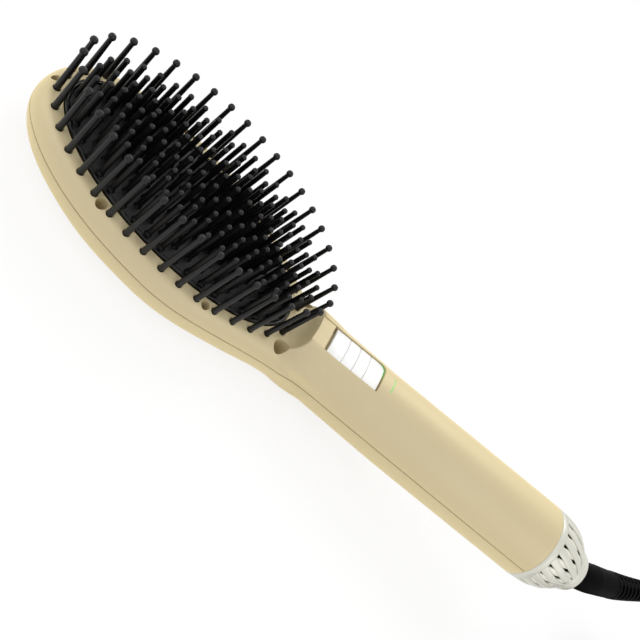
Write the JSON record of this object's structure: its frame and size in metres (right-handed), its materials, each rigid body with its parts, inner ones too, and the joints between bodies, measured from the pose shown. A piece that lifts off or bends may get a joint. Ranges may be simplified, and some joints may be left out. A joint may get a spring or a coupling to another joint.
{
  "type": "steam hair straightener brush",
  "caption": "Paddle head with a heated bristle field, a round pitched handle with small push keys, a lattice tail cap and a corded plug.",
  "frame": {"origin": "middle of the brush without its cord, on the flat back of the head that it rests on", "axes": "+X from the head to the tail, +Z the side of the bristles, Y across"},
  "size_m": [0.4464, 0.1178, 0.0621],
  "materials": {
    "shell_gold": "champagne gold paint, satin",
    "cap_silver": "silver plating on plastic",
    "bristle_black": "satin nylon",
    "plate_black": "satin heat-proof nylon",
    "aluminium_plate": "satin",
    "steel_sheet": "satin",
    "ceramic": "fired ceramic",
    "felt_pad": "pressed fibre",
    "brass_chamber": "satin",
    "key_white": "gloss",
    "board_green": "solder mask",
    "light_green": "clear, lit from below",
    "tank_clear": "milky clear",
    "rubber_black": "matte",
    "core_black": "matte",
    "hose_clear": "silicone",
    "wire_red": "silicone",
    "blade_metal": "polished"
  },
  "bodies": {
    "brush": {"back_shell": "shell_gold", "board_components": "bristle_black", "board_screws": "steel_sheet", "chamber_lid": "brass_chamber", "clamp_screws": "steel_sheet", "cord_clamp": "core_black", "cord_coil": "rubber_black", "cord_tube": "rubber_black", "core_bristles": "plate_black", "feed_hose": "hose_clear", "front_shell": "shell_gold", "heater_clamp": "steel_sheet", "heater_element_1": "ceramic", "heater_element_2": "ceramic", "heater_plate": "aluminium_plate", "heater_wires": "wire_red", "insulation_pad": "felt_pad", "key_switches": "bristle_black", "light_guide": "light_green", "main_board": "board_green", "mains_wires": "wire_red", "plate_frame": "plate_black", "plug_blades": "blade_metal", "plug_body": "rubber_black", "pump_cradle": "core_black", "rim_comb": "bristle_black", "shell_screws": "steel_sheet", "status_led": "light_green", "steam_chamber": "brass_chamber", "strain_relief": "rubber_black", "tail_basket": "cap_silver", "tail_cap": "cap_silver", "tail_insert": "core_black", "tank_hose": "hose_clear", "temperature_sensor": "ceramic", "thermal_fuse": "steel_sheet", "water_pump": "bristle_black", "water_tank": "tank_clear"},
    "key_1": {"key_1": "key_white"},
    "key_2": {"key_2": "key_white"},
    "key_3": {"key_3": "key_white"},
    "key_4": {"key_4": "key_white"},
    "filler_plug": {"filler_plug": "rubber_black"}
  },
  "joints": [
    {"name": "key_1_press", "type": "slide", "parent": "brush", "child": "key_1", "axis": [0.1994, 0, -0.9799], "range_m": [0, 0.0008], "stiffness_N_per_m": 2000},
    {"name": "key_2_press", "type": "slide", "parent": "brush", "child": "key_2", "axis": [0.1994, 0, -0.9799], "range_m": [0, 0.0008], "stiffness_N_per_m": 2000},
    {"name": "key_3_press", "type": "slide", "parent": "brush", "child": "key_3", "axis": [0.1994, 0, -0.9799], "range_m": [0, 0.0008], "stiffness_N_per_m": 2000},
    {"name": "key_4_press", "type": "slide", "parent": "brush", "child": "key_4", "axis": [0.1994, 0, -0.9799], "range_m": [0, 0.0008], "stiffness_N_per_m": 2000},
    {"name": "filler_plug_pull", "type": "slide", "parent": "brush", "child": "filler_plug", "axis": [0.1994, 0, -0.9799], "range_m": [0, 0.008]}
  ]
}
